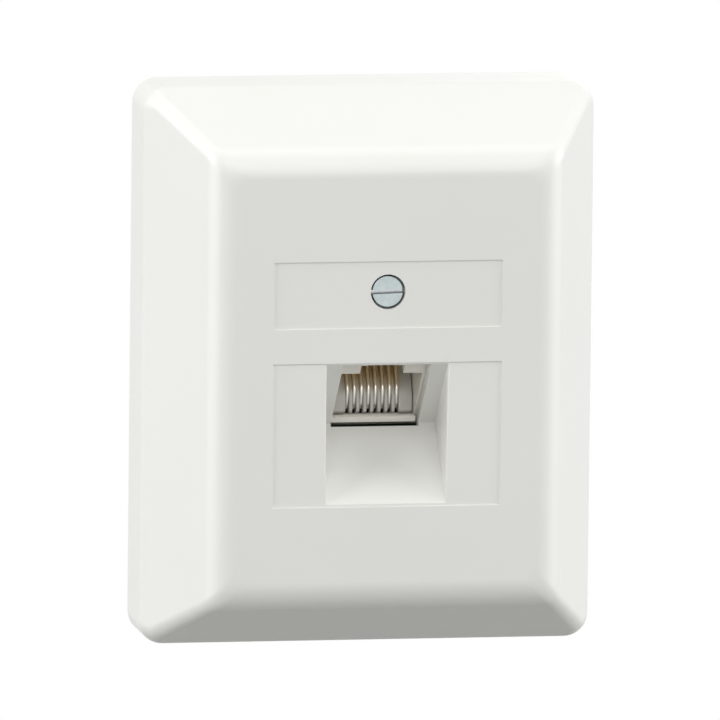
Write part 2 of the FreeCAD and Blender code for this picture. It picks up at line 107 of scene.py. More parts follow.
def srgb(text):
    """Linear colour from a hex value as a screen shows it."""
    parts = [int(text[k : k + 2], 16) / 255 for k in (0, 2, 4)]
    linear = [c / 12.92 if c <= 0.04045 else ((c + 0.055) / 1.055) ** 2.4 for c in parts]
    return (*linear, 1.0)


def add_node(tree, kind, links=None, **settings):
    """Adds a node, with its properties set and its inputs set or linked."""
    node = tree.nodes.new(kind)
    for name, value in settings.items():
        setattr(node, name, value)
    for name, value in (links or {}).items():
        if isinstance(value, bpy.types.NodeSocket):
            tree.links.new(value, node.inputs[name])
        else:
            node.inputs[name].default_value = value
    return node


def start_material(name):
    """An empty node material, with its object coordinates in millimetres."""
    material = bpy.data.materials.new(name)
    material.use_nodes = True
    tree = material.node_tree
    tree.nodes.clear()
    coordinates = add_node(tree, "ShaderNodeTexCoord")
    scaled = add_node(
        tree, "ShaderNodeVectorMath", {"Vector": coordinates.outputs["Object"]}, operation="SCALE"
    )
    scaled.inputs["Scale"].default_value = 1 / mm
    return material, tree, scaled.outputs["Vector"]


def finish_material(tree, links):
    shader = add_node(tree, "ShaderNodeBsdfPrincipled", links)
    add_node(tree, "ShaderNodeOutputMaterial", {"Surface": shader.outputs["BSDF"]})


def grain(tree, place, size, detail, distance):
    """Bump from noise whose lumps are size millimetres wide and distance metres high."""
    noise = add_node(
        tree, "ShaderNodeTexNoise", {"Vector": place, "Scale": 1 / size, "Detail": detail}
    )
    bump = add_node(
        tree, "ShaderNodeBump",
        {"Height": noise.outputs["Fac"], "Distance": distance, "Strength": 1.0},
    )
    return bump.outputs["Normal"]


def tints(tree, place, first, second, size):
    """Colour that drifts between two hex values over size millimetres."""
    cloud = add_node(
        tree, "ShaderNodeTexNoise", {"Vector": place, "Scale": 1 / size, "Detail": 2.0}
    )
    mix = add_node(
        tree, "ShaderNodeMix",
        {"Factor": cloud.outputs["Fac"], "A": srgb(first), "B": srgb(second)}, data_type="RGBA",
    )
    return mix.outputs["Result"]


flow_mark_size = 22


def moulded_plastic(name, first, second, roughness, ior, grain_size, grain_height):
    """Injection-moulded plastic: an even colour, slight flow marks and the tool's grain."""
    material, tree, place = start_material(name)
    finish_material(tree, {
        "Base Color": tints(tree, place, first, second, flow_mark_size),
        "Roughness": roughness,
        "IOR": ior,
        "Normal": grain(tree, place, size=grain_size, detail=1.0, distance=grain_height),
    })
    return material


def dress(piece, material, body):
    """Gives a piece its material and the body it rides on."""
    piece.data.materials.clear()
    piece.data.materials.append(material)
    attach(piece, body)


# Spark-eroded ABS: scattered light, and a fine grain that dulls the highlights. The real grain is
# nearer 0.05 mm and is drawn at 0.15 mm, so that it shows.
matt_white_abs = moulded_plastic(
    "matt_white_abs", "DEDED8", "D9D9D2", roughness=0.45, ior=1.53,
    grain_size=0.15, grain_height=6e-6,
)
base_plate = softened("base_plate", "moulded_base", base_rounding)
dress(base_plate, matt_white_abs, "base")

# Circuit board. Glass-epoxy laminate 1.6 mm thick under green solder mask, drilled for pins, pegs
# and tails. Its holes have tinned pads in front and soldered joints behind, where copper tracks
# that stand up under the mask join the contacts to the terminals.
board_low, board_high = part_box("circuit_board")
board_front_y, board_back_y = board_low.y, board_high.y
pad_lift = 0.03 * mm
pad_sink = 0.02 * mm
pad_steps = 24
pin_pad_radius, pin_hole_radius, pin_radius = 0.75 * mm, 0.4 * mm, 0.24 * mm
tail_pad_radius, tail_hole_radius, tail_radius = 1.0 * mm, 0.6 * mm, 0.5 * mm
solder_over_tip = 0.05 * mm
contact_names = [f"contact_{number}" for number in range(1, 9)]
blade_names = [f"blade_{side}_{number}" for side in ("left", "right") for number in range(1, 5)]


def turned(name, rings, places, steps=32):
    """(radius, y) rings spun about lines square to the wall, through (x, z) places."""
    bm = bmesh.new()
    for x, z in places:
        corners = [bm.verts.new((x + radius, y, z)) for radius, y in rings]
        edges = [bm.edges.new(pair) for pair in zip(corners, corners[1:] + corners[:1])]
        bmesh.ops.spin(
            bm, geom=corners + edges, cent=(x, 0, z), axis=(0, 1, 0), dvec=(0, 0, 0),
            angle=math.radians(360), steps=steps, use_merge=True,
        )
    bmesh.ops.remove_doubles(bm, verts=bm.verts, dist=weld_distance)
    return finished(bm, name)


def middle(node):
    low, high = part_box(node)
    return (low + high) / 2


def pin_place(node):
    """(x, z) where a contact's pin or a blade's tail crosses the board."""
    tail = [v.co for v in nodes[node].data.vertices if v.co.y > board_front_y]
    xs, zs = [p.x for p in tail], [p.z for p in tail]
    return (min(xs) + max(xs)) / 2, (min(zs) + max(zs)) / 2


def pad_rings(hole_radius, radius, y, out):
    """Outline of a flat ring that stands just proud of the board's face at y."""
    proud, sunk = y + out * pad_lift, y - out * pad_sink
    return [(hole_radius, sunk), (hole_radius, proud), (radius - pad_lift, proud), (radius, sunk)]


def solder_rings(lead_radius, radius, y, tip_y):
    """Outline of a fillet of solder that climbs from a pad to a lead's tip."""
    rise = tip_y - y
    waist = lead_radius + 0.25 * (radius - lead_radius)
    return [
        (0, y - pad_sink), (radius, y - pad_sink), (radius, y + pad_lift),
        (waist, y + rise * 0.4), (lead_radius, y + rise * 0.8), (0, y + rise),
    ]


pins = [pin_place(name) for name in contact_names]
tails = [pin_place(name) for name in blade_names]
pin_tip_y = max(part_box(name)[1].y for name in contact_names) + solder_over_tip
tail_tip_y = max(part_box(name)[1].y for name in blade_names) + solder_over_tip
board_joints = {
    "pin_pads": (pad_rings(pin_hole_radius, pin_pad_radius, board_front_y, -1), pins),
    "tail_pads": (pad_rings(tail_hole_radius, tail_pad_radius, board_front_y, -1), tails),
    "pin_solder": (solder_rings(pin_radius, pin_pad_radius, board_back_y, pin_tip_y), pins),
    "tail_solder": (solder_rings(tail_radius, tail_pad_radius, board_back_y, tail_tip_y), tails),
}

# Tinned copper: soft bright grey, slightly mottled where the solder froze.
tinned_copper, tree, place = start_material("tinned_copper")
finish_material(tree, {
    "Base Color": tints(tree, place, "D6D6D2", "B9BAB8", size=0.8),
    "Metallic": 1.0,
    "Roughness": 0.28,
    "Normal": grain(tree, place, size=0.4, detail=2.0, distance=8e-6),
})
for name, (rings, places) in board_joints.items():
    piece = turned(name, rings, places, pad_steps)
    smooth_by_angle(piece, 50)
    dress(piece, tinned_copper, "base")

track_width = 0.4 * mm
track_height = 0.035 * mm
first_level, level_step = 0.28, 0.16


def track(bm, start, end, y, out):
    """A straight run of copper on the board's face, from one (x, z) to another."""
    run = Vector((end[0] - start[0], 0, end[1] - start[1]))
    turn = Vector((1, 0, 0)).rotation_difference(run).to_matrix().to_4x4()
    centre = Vector(((start[0] + end[0]) / 2, y + out * track_height / 2, (start[1] + end[1]) / 2))
    size = Matrix.Diagonal((run.length + track_width, track_height, track_width, 1))
    made = bmesh.ops.create_cube(bm, size=1, matrix=Matrix.Translation(centre) @ turn @ size)
    return made["verts"]


def tracks():
    """One track from each contact's pin to its terminal, bent once at its own level."""
    bm = bmesh.new()
    order = sorted(range(8), key=lambda index: pins[index][0])
    low_pin = min(z for x, z in pins)
    high_tail = max(z for x, z in tails)
    for rank, index in enumerate(order):
        pin, tail = pins[index], sorted(tails)[rank]
        inward = min(rank, 7 - rank)
        level = high_tail + (low_pin - high_tail) * (first_level + level_step * inward)
        corners = [pin, (pin[0], level), (tail[0], level), tail]
        for first, second in zip(corners, corners[1:]):
            track(bm, first, second, board_back_y, 1)
    return finished(bm, "copper_tracks")


# Glass-epoxy under green mask: a deep even green with a satin skin that shows the glass weave.
# A wave texture at scale 1 repeats every 0.314 mm.
wave_repeat = 0.314
glass_thread_spacing = 0.5
masked_laminate, tree, place = start_material("masked_laminate")
weave = [
    add_node(
        tree, "ShaderNodeTexWave",
        {"Vector": place, "Scale": wave_repeat / glass_thread_spacing, "Distortion": 0.3},
        wave_type="BANDS", bands_direction=way,
    )
    for way in ("X", "Z")
]
woven = add_node(
    tree, "ShaderNodeMath",
    {0: weave[0].outputs["Fac"], 1: weave[1].outputs["Fac"]}, operation="ADD",
)
weave_bump = add_node(tree, "ShaderNodeBump", {"Height": woven.outputs[0], "Distance": 3e-6})
finish_material(tree, {
    "Base Color": tints(tree, place, "1E5B35", "24683D", size=9),
    "Roughness": 0.32,
    "IOR": 1.55,
    "Normal": weave_bump.outputs["Normal"],
})
circuit_board = softened("circuit_board", "drilled_board", radius=0.05 * mm)
dress(circuit_board, masked_laminate, "base")
copper_tracks = tracks()
dress(copper_tracks, masked_laminate, "base")

# Board screws. Two pan-head thread-forming screws in zinc-plated steel, with a slot.
# They hold the board on the base's stand-offs.

# Zinc plate: a bluish silver that is slightly cloudy, with a soft sheen and no sharp reflections.
zinc_plate, tree, place = start_material("zinc_plate")
finish_material(tree, {
    "Base Color": tints(tree, place, "CBD4D4", "ACB8BA", size=0.7),
    "Metallic": 1.0,
    "Roughness": 0.42,
    "Normal": grain(tree, place, size=0.35, detail=2.0, distance=5e-6),
})
board_screws = softened("board_screws", "pan_head_screws", radius=0.18 * mm)
dress(board_screws, zinc_plate, "base")

# Terminal blocks. Two off-white polycarbonate mouldings with four wire slots each, soldered and
# pressed on the board. A wire is pushed into a slot, and a forked blade bites through its sheath.

# Moulded polycarbonate: a warm off-white with a satin skin and broad highlights.
terminal_polycarbonate = moulded_plastic(
    "terminal_polycarbonate", "D8D6CC", "CFCDC3", roughness=0.35, ior=1.58,
    grain_size=0.3, grain_height=4e-6,
)
for side in ("left", "right"):
    block_piece = softened("terminal_block_" + side, "wire_block_" + side, radius=0.12 * mm)
    dress(block_piece, terminal_polycarbonate, "base")

# Blades. Eight forks stamped from tin-plated phosphor bronze strip, with a slit between two jaws.
# Each is pressed in a terminal block, and its tail is soldered in the board.

# Rolled and tinned bronze: a soft silver with faint lines along the strip. They are drawn about
# 0.17 mm apart and 2.5 mm long, coarser than the real ones, so that they show.
line_spacing, line_length = 1 / 6, 2.5
tinned_bronze, tree, place = start_material("tinned_bronze")
stretched = add_node(
    tree, "ShaderNodeMapping",
    {"Vector": place, "Scale": (1 / line_spacing, 1 / line_length, 1 / line_spacing)},
)
drawn = add_node(
    tree, "ShaderNodeTexNoise",
    {"Vector": stretched.outputs["Vector"], "Scale": 1.0, "Detail": 3.0},
)
drawn_bump = add_node(tree, "ShaderNodeBump", {"Height": drawn.outputs["Fac"], "Distance": 6e-6})
finish_material(tree, {
    "Base Color": tints(tree, place, "D2D0C8", "BDBBB2", size=2.0),
    "Metallic": 1.0,
    "Roughness": 0.32,
    "Normal": drawn_bump.outputs["Normal"],
})
for name in blade_names:
    piece = softened(name, "stamped_" + name, radius=0.05 * mm)
    dress(piece, tinned_bronze, "base")

# Contact comb. A moulding in light grey PBT whose slots keep the eight springs apart. It shows
# through the socket's mouth as a row of teeth, and is held between the housing and the board.

# Satin PBT: an even light grey with soft highlights. Deep in the slots, where the springs' gold
# lies close in front of it, a painted reflection of the gold warms the grey. Levels and widths are
# in millimetres.
gold_glow_low, gold_glow_high = -4.8, -1.2
gold_glow_full_width, gold_glow_end_width = 3.7, 4.5
satin_grey_pbt, tree, place = start_material("satin_grey_pbt")
parts = add_node(tree, "ShaderNodeSeparateXYZ", {"Vector": place})
gold_glow_by_height = add_node(
    tree, "ShaderNodeMapRange",
    {"Value": parts.outputs["Z"], "From Min": gold_glow_low, "From Max": gold_glow_high,
     "To Min": 0.0, "To Max": 1.0},
    interpolation_type="SMOOTHSTEP",
)
aside = add_node(tree, "ShaderNodeMath", {0: parts.outputs["X"]}, operation="ABSOLUTE")
gold_glow_behind_wires = add_node(
    tree, "ShaderNodeMapRange",
    {"Value": aside.outputs[0], "From Min": gold_glow_full_width, "From Max": gold_glow_end_width,
     "To Min": 1.0, "To Max": 0.0},
)
# Mask of the painted gold reflection: high up the comb and close behind the wires.
painted_gold_glow = add_node(
    tree, "ShaderNodeMath",
    {0: gold_glow_by_height.outputs["Result"], 1: gold_glow_behind_wires.outputs["Result"]}, operation="MULTIPLY",
)
# The comb's grey, warmed where the painted gold reflection lies.
comb_colour = add_node(
    tree, "ShaderNodeMix",
    {"Factor": painted_gold_glow.outputs[0], "A": srgb("D3D0C9"), "B": srgb("E2CBA8")}, data_type="RGBA",
)
finish_material(tree, {
    "Base Color": comb_colour.outputs["Result"],
    "Roughness": 0.35,
    "IOR": 1.57,
    "Normal": grain(tree, place, size=0.6, detail=2.0, distance=3e-6),
})
comb = softened("contact_comb", "spring_comb", radius=0.05 * mm)
dress(comb, satin_grey_pbt, "base")

# Spring contacts. Eight bronze wires, drawn, nickel-plated all over and gold-plated where the plug
# touches. Each is bent round the comb's nose and runs back under it to its pin in the board.
tilt = math.radians(45)
notch_top = 2.5 * mm
face_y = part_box("cover")[0].y
along_way = Vector((0, math.cos(tilt), math.sin(tilt)))
down_way = Vector((0, math.sin(tilt), -math.cos(tilt)))
socket_face = 1.8 * mm
wire_radius = 0.265 * mm
wire_steps, bend_steps = 16, 10
contact_front = socket_face + 1.7 * mm
contact_knee = (socket_face + 2.8 * mm, 12.65 * mm)
contact_tip = (socket_face + 10.8 * mm, 9.7 * mm)
contact_front_top = 14.55 * mm
contact_lower_line = 15.6 * mm
bend_radii = [2.5 * mm, 0.8 * mm, 0.42 * mm, 0.6 * mm]


def tilted(x, along, down):
    """Point in the socket's own directions: along with the plug, down across the socket's face."""
    return Vector((x, face_y, notch_top)) + along_way * along + down_way * down


def run_wire(bm, ring, step):
    """Carries a ring of edges along a straight step."""
    made = bmesh.ops.extrude_edge_only(bm, edges=ring)["geom"]
    verts = [g for g in made if isinstance(g, bmesh.types.BMVert)]
    bmesh.ops.translate(bm, verts=verts, vec=step)
    edges = [g for g in made if isinstance(g, bmesh.types.BMEdge)]
    return [e for e in edges if all(v in verts for v in e.verts)]


def bend_wire(bm, ring, centre, axis, angle):
    """Carries a ring of edges round a bend."""
    made = bmesh.ops.spin(
        bm, geom=ring, cent=centre, axis=axis, dvec=(0, 0, 0), angle=angle,
        steps=bend_steps, use_duplicate=False,
    )["geom_last"]
    return [g for g in made if isinstance(g, bmesh.types.BMEdge)]


def bent_wire(name, points, radii):
    """A round wire through points, with a bend of its own radius at each corner."""
    bm = bmesh.new()
    heading = (points[1] - points[0]).normalized()
    place = Matrix.Translation(points[0]) @ heading.to_track_quat("Z", "Y").to_matrix().to_4x4()
    bmesh.ops.create_circle(
        bm, cap_ends=True, segments=wire_steps, radius=wire_radius, matrix=place
    )
    ring = bm.edges[:]
    last = points[0]
    for corner, after, radius in zip(points[1:-1], points[2:], radii):
        inward, outward = (corner - last).normalized(), (after - corner).normalized()
        turn = inward.angle(outward)
        tangent = radius * math.tan(turn / 2)
        start, end = corner - inward * tangent, corner + outward * tangent
        bisector = (outward - inward).normalized()
        centre = corner + bisector * (radius / math.cos(turn / 2))
        ring = run_wire(bm, ring, start - last)
        ring = bend_wire(bm, ring, centre, inward.cross(outward), turn)
        last = end
    ring = run_wire(bm, ring, points[-1] - last)
    bmesh.ops.contextual_create(bm, geom=ring)
    piece = finished(bm, name)
    smooth_by_angle(piece, 50)
    return piece


# Nickel and gold over bronze wire: a soft bright line down each wire, warm where the gold lies and
# silver below the knee. The gold ends between these levels, in millimetres.
gold_full, gold_end = -0.5, -4.0
plated_wire, tree, place = start_material("plated_wire")
parts = add_node(tree, "ShaderNodeSeparateXYZ", {"Vector": place})
fade = add_node(
    tree, "ShaderNodeMapRange",
    {"Value": parts.outputs["Z"], "From Min": gold_end, "From Max": gold_full,
     "To Min": 0.0, "To Max": 1.0},
    interpolation_type="SMOOTHSTEP",
)
plate_colour = add_node(
    tree, "ShaderNodeMix",
    {"Factor": fade.outputs["Result"], "A": srgb("F4F3F1"), "B": srgb("F3DCB0")}, data_type="RGBA",
)
finish_material(tree, {
    "Base Color": plate_colour.outputs["Result"],
    "Metallic": 1.0,
    "Roughness": 0.3,
    "Normal": grain(tree, place, size=0.2, detail=1.0, distance=1e-6),
})
for name in contact_names:
    x = middle(name).x
    pin_z = pin_place(name)[1]
    pin_reach = (pin_z - notch_top + contact_lower_line * math.cos(tilt)) / math.sin(tilt)
    route = [
        tilted(x, *contact_tip),
        tilted(x, *contact_knee),
        tilted(x, contact_front, contact_front_top),
        tilted(x, contact_front, contact_lower_line),
        tilted(x, pin_reach, contact_lower_line),
        Vector((x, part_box(name)[1].y, pin_z)),
    ]
    wire = bent_wire("spring_" + name, route, bend_radii)
    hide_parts(name)
    dress(wire, plated_wire, "base")

# Socket housing. One moulding in light grey PBT with the plug's cavity, the latch's step and the
# post for the cover's screw. Two pegs locate it on the board, which it is pressed and glued to.

# Polished PBT: a very pale warm grey that stays light in the notch, with soft highlights.
socket_pbt = moulded_plastic(
    "socket_pbt", "F9F6EE", "F4F1E7", roughness=0.3, ior=1.57,
    grain_size=1.0, grain_height=3e-6,
)
housing = softened("socket_housing", "socket_moulding", radius=0.1 * mm)
dress(housing, socket_pbt, "base")

# Bush. Turned brass with a collar, pressed warm into the housing's post. The cover's screw runs in
# its thread.
bush_low, bush_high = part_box("threaded_bush")
bush_centre = middle("threaded_bush")
bush_bore = 1.27 * mm
bush_body = 2.0 * mm
bush_collar = 0.6 * mm
bush_chamfer = 0.2 * mm
collar_radius = (bush_high.x - bush_low.x) / 2
bush = turned(
    "brass_bush",
    [
        (bush_bore + bush_chamfer, bush_low.y), (collar_radius - bush_chamfer, bush_low.y),
        (collar_radius, bush_low.y + bush_chamfer), (collar_radius, bush_low.y + bush_collar),
        (bush_body, bush_low.y + bush_collar), (bush_body, bush_high.y - bush_chamfer),
        (bush_body - bush_chamfer, bush_high.y), (bush_bore, bush_high.y),
        (bush_bore, bush_low.y + bush_chamfer),
    ],
    [(bush_centre.x, bush_centre.z)], 64,
)
smooth_by_angle(bush, 30)
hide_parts("threaded_bush")

# Turned brass: a warm yellow with fine rings that the tool leaves. They are drawn 0.12 mm apart,
# which is coarser than a fine cut, so that they show.
tool_ring_spacing = 0.12
turned_brass, tree, place = start_material("turned_brass")
centred = add_node(
    tree, "ShaderNodeMapping",
    {"Vector": place, "Location": (-bush_centre.x / mm, 0, -bush_centre.z / mm)},
)
tool_rings = add_node(
    tree, "ShaderNodeTexWave",
    {"Vector": centred.outputs["Vector"], "Scale": wave_repeat / tool_ring_spacing,
     "Distortion": 0.5},
    wave_type="RINGS", rings_direction="Y",
)
ring_bump = add_node(
    tree, "ShaderNodeBump", {"Height": tool_rings.outputs["Fac"], "Distance": 3e-6}
)
finish_material(tree, {
    "Base Color": tints(tree, place, "D2A95A", "C79D50", size=1.5),
    "Metallic": 1.0,
    "Roughness": 0.25,
    "Normal": ring_bump.outputs["Normal"],
})
dress(bush, turned_brass, "base")

# Cover. The real one is a single injection moulding in glossy white ABS. It is a shallow pyramid
# with a flat front, a notch for the socket, two sunk label fields and a sleeve for its one screw.
# The outer and inner skins are rings of rounded rectangles joined in one closed shell.
cover_low, cover_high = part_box("cover")
cover_width = cover_high.x - cover_low.x
cover_height = cover_high.z - cover_low.z
cover_depth = cover_high.y - cover_low.y
cover_wall = 2.0 * mm
skirt_depth = 9.8 * mm
bevel_angle = math.radians(64.8)
skirt_corner_radius = 3.5 * mm
hip_radius = 1.8 * mm
hip_blend = 1.2 * mm
skirt_edge_radius = 2.5 * mm
face_edge_radius = 4.8 * mm
least_radius = 0.3 * mm
back_rounding = 0.3 * mm
back_relief = 0.1 * mm
support_step = 0.02 * mm
corner_steps = 10


def rounded_ring(bm, half_x, half_z, radius, y):
    """Adds a closed loop of edges, a rectangle with round corners, and returns the edges."""
    place = Matrix.Translation((0, y, 0)) @ Matrix.Rotation(math.radians(90), 4, "X")
    size = Matrix.Diagonal((half_x, half_z, 1, 1))
    grid = bmesh.ops.create_grid(bm, x_segments=1, y_segments=1, size=1, matrix=place @ size)
    corners = grid["verts"]
    rounded = bmesh.ops.bevel(
        bm, geom=corners, offset=radius, offset_type="OFFSET", segments=corner_steps,
        profile=0.5, affect="VERTICES", material=-1,
    )
    edges = list({e for v in rounded["verts"] for e in v.link_edges})
    faces = list({f for e in edges for f in e.link_faces})
    bmesh.ops.delete(bm, geom=faces, context="FACES_ONLY")
    return edges


def arc_points(corner, start_angle, end_angle, radius, steps):
    """(inset, rise) points that round a corner between two straight stretches of the profile."""
    tangent = radius * math.tan((start_angle - end_angle) / 2)
    start = corner - tangent * Vector((math.cos(start_angle), math.sin(start_angle)))
    centre = start + radius * Vector((math.sin(start_angle), -math.cos(start_angle)))
    angles = [start_angle + (end_angle - start_angle) * k / steps for k in range(steps + 1)]
    return [centre + radius * Vector((-math.sin(t), math.cos(t))) for t in angles]


def cover_profile(offset, arc_steps):
    """(inset, rise, corner radius) of the rings from the wall forward, moved inward by offset."""
    front = cover_depth - offset
    edge_rise = skirt_depth - offset * (1 - math.sin(bevel_angle)) / math.cos(bevel_angle)
    bevel_end = offset / math.sin(bevel_angle) + (front - skirt_depth) / math.tan(bevel_angle)
    lower = arc_points(
        Vector((offset, edge_rise)), math.radians(90), bevel_angle,
        max(skirt_edge_radius - offset, least_radius), arc_steps,
    )
    upper = arc_points(
        Vector((bevel_end, front)), bevel_angle, 0.0,
        max(face_edge_radius - offset, least_radius), arc_steps * 2,
    )
    hip_inset = offset + hip_blend
    hip_rise = lower[-1].y + (hip_inset - lower[-1].x) * math.tan(bevel_angle)
    rings = []
    for point in lower + [Vector((hip_inset, hip_rise))] + upper:
        share = min((point.x - offset) / hip_blend, 1)
        radius = skirt_corner_radius + (hip_radius - skirt_corner_radius) * share
        rings.append((point.x, point.y, max(radius - offset, least_radius)))
    return rings


def bridge_rings(bm, rings):
    for before, after in zip(rings, rings[1:]):
        bmesh.ops.bridge_loops(bm, edges=before + after)


def cover_ring(bm, inset, rise, radius):
    return rounded_ring(bm, cover_width / 2 - inset, cover_height / 2 - inset, radius, -rise)


def cover_shell():
    """The shell: outer skin, the rim against the wall, inner skin."""
    bm = bmesh.new()
    halfway = back_rounding * (1 - math.sqrt(0.5))
    back = [
        (back_rounding, 0.0, skirt_corner_radius - back_rounding),
        (halfway, halfway, skirt_corner_radius),
        (0.0, back_rounding, skirt_corner_radius),
    ]
    inner = cover_profile(cover_wall, 3)
    inner_back = (cover_wall, back_relief, skirt_corner_radius - cover_wall)
    outline = list(reversed([inner_back] + inner)) + back + cover_profile(0.0, 8)
    rings = [cover_ring(bm, *place) for place in outline]
    bridge_rings(bm, rings)
    for ends in (rings[0], rings[-1]):
        cap = bmesh.ops.contextual_create(bm, geom=ends)["faces"]
        bmesh.ops.inset_individual(bm, faces=cap, thickness=support_step)
    bmesh.ops.remove_doubles(bm, verts=bm.verts, dist=1e-7)
    return finished(bm, "cover_shell")


def in_triangles(piece):
    """Splits a piece's faces into triangles, so that no cut leaves one face round a hole."""
    bm = bmesh.new()
    bm.from_mesh(piece.data)
    bmesh.ops.triangulate(bm, faces=bm.faces, quad_method="BEAUTY", ngon_method="BEAUTY")
    bm.to_mesh(piece.data)
    bm.free()


def combine(piece, operation, tools):
    """Joins tools to the piece or cuts them out of it, and removes them."""
    in_triangles(piece)
    for tool in tools:
        step = piece.modifiers.new(operation.lower(), "BOOLEAN")
        step.operation = operation
        step.solver = "EXACT"
        step.object = tool
    graph = bpy.context.evaluated_depsgraph_get()
    mesh = bpy.data.meshes.new_from_object(piece.evaluated_get(graph))
    piece.modifiers.clear()
    piece.data = mesh
    for tool in tools:
        bpy.data.objects.remove(tool)


def block(low, high):
    """A plain box used to cut or to join."""
    bm = bmesh.new()
    low, high = Vector(low), Vector(high)
    size = high - low
    place = Matrix.Translation((low + high) / 2) @ Matrix.Diagonal((*size, 1))
    bmesh.ops.create_cube(bm, size=1, matrix=place)
    return finished(bm, "block")


def bar(x, z, y_back, y_front, radius, steps=64):
    """A round bar square to the wall."""
    bm = bmesh.new()
    place = Matrix.Translation((x, (y_back + y_front) / 2, z))
    bmesh.ops.create_cone(
        bm, cap_ends=True, segments=steps, radius1=radius, radius2=radius,
        depth=abs(y_back - y_front), matrix=place @ Matrix.Rotation(math.radians(90), 4, "X"),
    )
    return finished(bm, "bar")


notch_depth = 10.2 * mm
notch_half = 8.65 * mm
notch_wall = 1.5 * mm
panel_length = notch_depth / math.sin(tilt)
overcut = 1.0 * mm


def tilted_block(along0, along1, down0, down1, half_width):
    """A plain box that lies in the socket's own directions."""
    bm = bmesh.new()
    centre = tilted(0, (along0 + along1) / 2, (down0 + down1) / 2)
    turn = Matrix((Vector((1, 0, 0)), along_way, -down_way)).transposed().to_4x4()
    size = Matrix.Diagonal((2 * half_width, along1 - along0, down1 - down0, 1))
    bmesh.ops.create_cube(bm, size=1, matrix=Matrix.Translation(centre) @ turn @ size)
    return finished(bm, "tilted_block")


def notch_block(grow):
    """The notch's space, with its two slopes and its sides moved out by grow."""
    reach = panel_length + 2 * grow + overcut
    return tilted_block(-reach, grow, -reach, panel_length + grow, notch_half + grow)


def notch_walls():
    """The solid that the notch is sunk into, cut off inside the front wall."""
    walls = notch_block(notch_wall)
    bm = bmesh.new()
    bm.from_mesh(walls.data)
    cut = bmesh.ops.bisect_plane(
        bm, geom=bm.verts[:] + bm.edges[:] + bm.faces[:], plane_co=(0, face_y + cover_wall / 2, 0),
        plane_no=(0, -1, 0), clear_outer=True,
    )
    rim = [e for e in cut["geom_cut"] if isinstance(e, bmesh.types.BMEdge)]
    bmesh.ops.contextual_create(bm, geom=rim)
    bmesh.ops.recalc_face_normals(bm, faces=bm.faces)
    bm.to_mesh(walls.data)
    bm.free()
    return walls


screw_z = middle("cover_screw").z
screw_hole_radius = 2.5 * mm
seat_y = face_y + 2.0 * mm
seat_back = seat_y + 1.2 * mm
shank_hole_radius = 1.4 * mm
sleeve_radius = 4.3 * mm
sleeve_bore = 3.1 * mm
sleeve_end = face_y + 7.2 * mm
sleeve_start = face_y + 0.5 * mm
label_half = 16.4 * mm
label_depth = 0.2 * mm
name_label = (7.4 * mm, 17.0 * mm)
port_label = (-18.1 * mm, notch_top)
port_half = 6.3 * mm
port_ramp = 0.52 * mm
port_land = 0.5 * mm
port_bottom = 17.35 * mm
rim_rounding = 0.3 * mm
knockout_half, knockout_height = 7.0 * mm, 7.5 * mm
score_width, score_depth = 0.8 * mm, 1.2 * mm


def knockout_scores(side):
    """Three grooves round a panel for the cable, inside the skirt's top (side 1) or bottom (-1)."""
    inner_z = cover_height / 2 - cover_wall
    low_z, high_z = sorted((side * (inner_z - overcut), side * (inner_z + score_depth)))
    front = block(
        (-knockout_half, -knockout_height, low_z),
        (knockout_half, score_width - knockout_height, high_z),
    )
    sides = []
    for x in (-knockout_half, knockout_half - score_width):
        sides.append(block((x, -knockout_height, low_z), (x + score_width, overcut, high_z)))
    return [front] + sides


cover = cover_shell()
combine(cover, "UNION", [notch_walls(), bar(0, screw_z, sleeve_end, sleeve_start, sleeve_radius)])
combine(cover, "DIFFERENCE", [notch_block(0.0)])
cuts = [
    tilted_block(-port_ramp, notch_wall + overcut, port_land, port_bottom, port_half),
    bar(0, screw_z, seat_y, face_y - overcut, screw_hole_radius, 96),
    bar(0, screw_z, seat_back + overcut, seat_y - overcut, shank_hole_radius),
    bar(0, screw_z, sleeve_end + overcut, seat_back, sleeve_bore),
]
for low_z, high_z in (name_label, port_label):
    low = (-label_half, face_y - overcut, low_z)
    cuts.append(block(low, (label_half, face_y + label_depth, high_z)))
combine(cover, "DIFFERENCE", cuts + knockout_scores(1) + knockout_scores(-1))


def edges_where(bm, test):
    return [e for e in bm.edges if all(test(v.co) for v in e.verts)]


def near(value, target, margin=0.02 * mm):
    return abs(value - target) < margin


def soften_cover():
    """Rounds the notch's two side rims where they meet the sunk label field."""
    bm = bmesh.new()
    bm.from_mesh(cover.data)
    bmesh.ops.remove_doubles(bm, verts=bm.verts, dist=1e-7)
    floor_y = face_y + label_depth
    sides = edges_where(bm, lambda p: near(abs(p.x), notch_half) and near(p.y, floor_y))
    round_edges(bm, sides, rim_rounding)
    bm.to_mesh(cover.data)
    bm.free()


soften_cover()
smooth_by_angle(cover)

# Polished ABS: a clean white with a soft gloss, so that each bevel takes its own even tone and the
# edges between them catch a broad pale line.
glossy_white_abs = moulded_plastic(
    "glossy_white_abs", "E8E8E4", "E5E5E0", roughness=0.32, ior=1.53,
    grain_size=2.5, grain_height=1.5e-6,
)
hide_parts("cover")
dress(cover, glossy_white_abs, "cover")

# Cover screw. A slotted cheese-head screw in zinc-plated steel, turned and then threaded, with a
# small round on its head. The slot stands a little off level, as the screw stopped turning.
screw_low, screw_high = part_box("cover_screw")
head_radius = (screw_high.x - screw_low.x) / 2
head_back = seat_y
shank_radius, core_radius = 1.25 * mm, 1.0 * mm
neck_radius = 0.94 * shank_radius
head_round = 0.12 * mm
tip_chamfer, tip_rise = 0.3 * mm, 0.35 * mm
thread_pitch = 0.45 * mm
thread_start = seat_y + 4.6 * mm
thread_run_in = 0.2 * mm
thread_end_gap = 0.4 * mm
thread_steps = 32
slot_width, slot_depth = 0.6 * mm, 1.0 * mm
slot_lean = math.radians(2.0)


